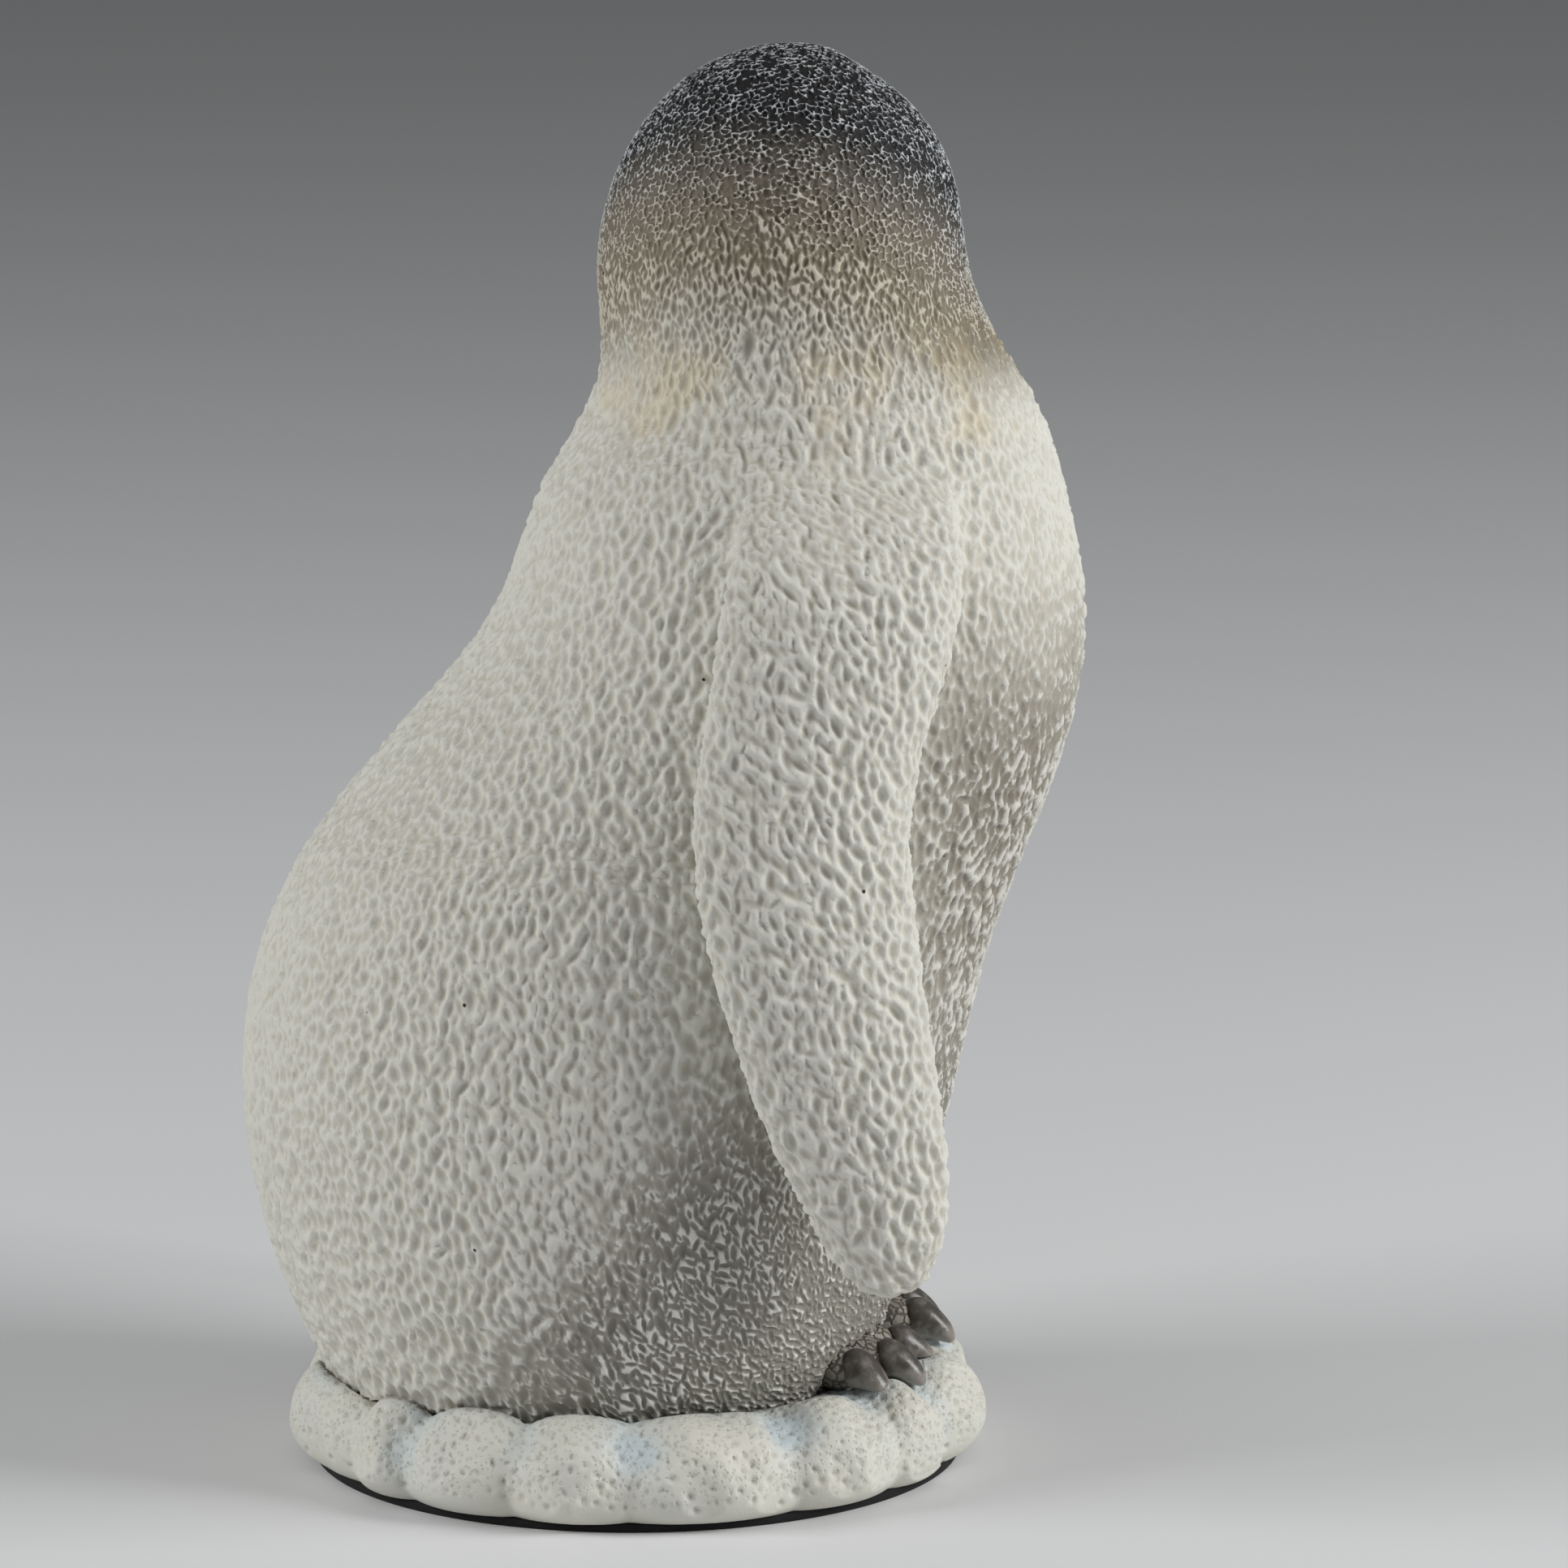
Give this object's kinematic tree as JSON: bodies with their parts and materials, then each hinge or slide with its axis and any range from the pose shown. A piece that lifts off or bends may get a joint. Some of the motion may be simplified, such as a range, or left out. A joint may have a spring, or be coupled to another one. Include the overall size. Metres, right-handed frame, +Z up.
{
  "type": "penguin figurine",
  "caption": "Penguin chick figurine with pitted down, hanging flippers and its head turned aside, standing on a low lumpy snow base with felt under it, for display on a flat surface.",
  "frame": {"origin": "centre of the felt's underside, on the surface that the figurine stands on", "axes": "+Z up, the chick faces -Y, its left side is +X"},
  "size_m": [0.0904, 0.1025, 0.1724],
  "materials": {
    "felt": "matt black felt",
    "snow": "painted stone-filled resin, off-white with pale blue in the grooves",
    "down": "painted stone-filled resin, cream with a grey-brown wash in the pits",
    "head_down": "painted stone-filled resin, charcoal crown dry-brushed with white over cream",
    "foot": "painted stone-filled resin, grey-brown",
    "horn": "dark grey-brown, semi-gloss",
    "eye_glass": "gloss black",
    "pin_steel": "bare steel, hidden",
    "dowel_wood": "bare wood, hidden"
  },
  "bodies": {
    "root": {"felt_pad": "felt", "snow_base": "snow", "base_pins": "pin_steel", "torso": "down", "neck_dowel": "dowel_wood", "head": "head_down", "bill": "horn", "right_eye": "eye_glass", "left_eye": "eye_glass", "right_flipper": "down", "left_flipper": "down", "right_flipper_pin": "pin_steel", "left_flipper_pin": "pin_steel", "right_foot": "foot", "left_foot": "foot", "right_outer_claw": "horn", "right_middle_claw": "horn", "right_inner_claw": "horn", "left_outer_claw": "horn", "left_middle_claw": "horn", "left_inner_claw": "horn"}
  },
  "joints": []
}
